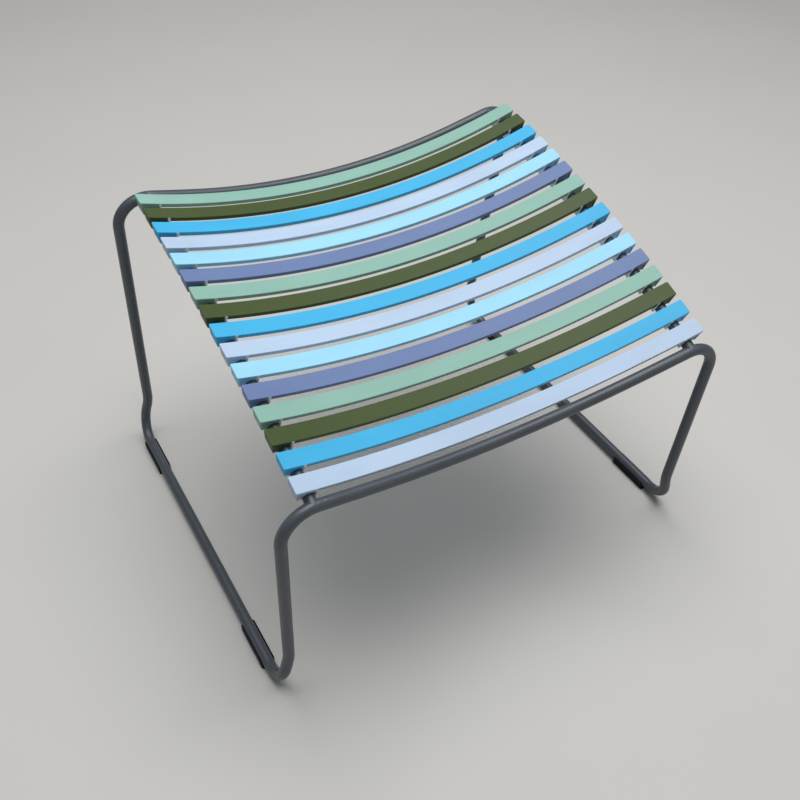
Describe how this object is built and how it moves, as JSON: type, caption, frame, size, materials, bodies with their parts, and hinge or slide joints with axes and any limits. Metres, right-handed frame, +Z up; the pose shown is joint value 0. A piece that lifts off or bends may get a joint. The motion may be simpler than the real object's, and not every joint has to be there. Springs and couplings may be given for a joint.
{
  "type": "slatted footstool",
  "caption": "Slatted outdoor footstool: dished plastic slats clipped over side rails on a bent steel tube sled frame with glides.",
  "frame": {"origin": "on the floor, under the middle of the overall box", "axes": "+X along the slats to the right, +Y to the back, which is the higher end of the seat, +Z up"},
  "size_m": [0.5826, 0.4838, 0.4142],
  "materials": {
    "slat_mint": "moulded outdoor plastic, satin, fine texture",
    "slat_olive": "moulded outdoor plastic, satin, fine texture",
    "slat_sky_blue": "moulded outdoor plastic, satin, fine texture",
    "slat_lavender": "moulded outdoor plastic, satin, fine texture",
    "slat_pale_cyan": "moulded outdoor plastic, satin, fine texture",
    "slat_slate_violet": "moulded outdoor plastic, satin, fine texture",
    "frame_powder_coat": "dark grey powder coat on steel tube, satin",
    "sleeve_steel": "drawn steel tube, bare",
    "glide_black": "black moulded nylon, matt"
  },
  "bodies": {
    "root": {"slat_01": "slat_mint", "slat_02": "slat_olive", "slat_03": "slat_sky_blue", "slat_04": "slat_lavender", "slat_05": "slat_pale_cyan", "slat_06": "slat_slate_violet", "slat_07": "slat_mint", "slat_08": "slat_olive", "slat_09": "slat_sky_blue", "slat_10": "slat_lavender", "slat_11": "slat_pale_cyan", "slat_12": "slat_slate_violet", "slat_13": "slat_mint", "slat_14": "slat_olive", "slat_15": "slat_sky_blue", "slat_16": "slat_lavender", "front_frame_tube": "frame_powder_coat", "rear_frame_tube": "frame_powder_coat", "left_slat_rail": "frame_powder_coat", "right_slat_rail": "frame_powder_coat", "left_runner_sleeve": "sleeve_steel", "right_runner_sleeve": "sleeve_steel", "front_left_glide": "glide_black", "front_right_glide": "glide_black", "rear_left_glide": "glide_black", "rear_right_glide": "glide_black"}
  },
  "joints": []
}
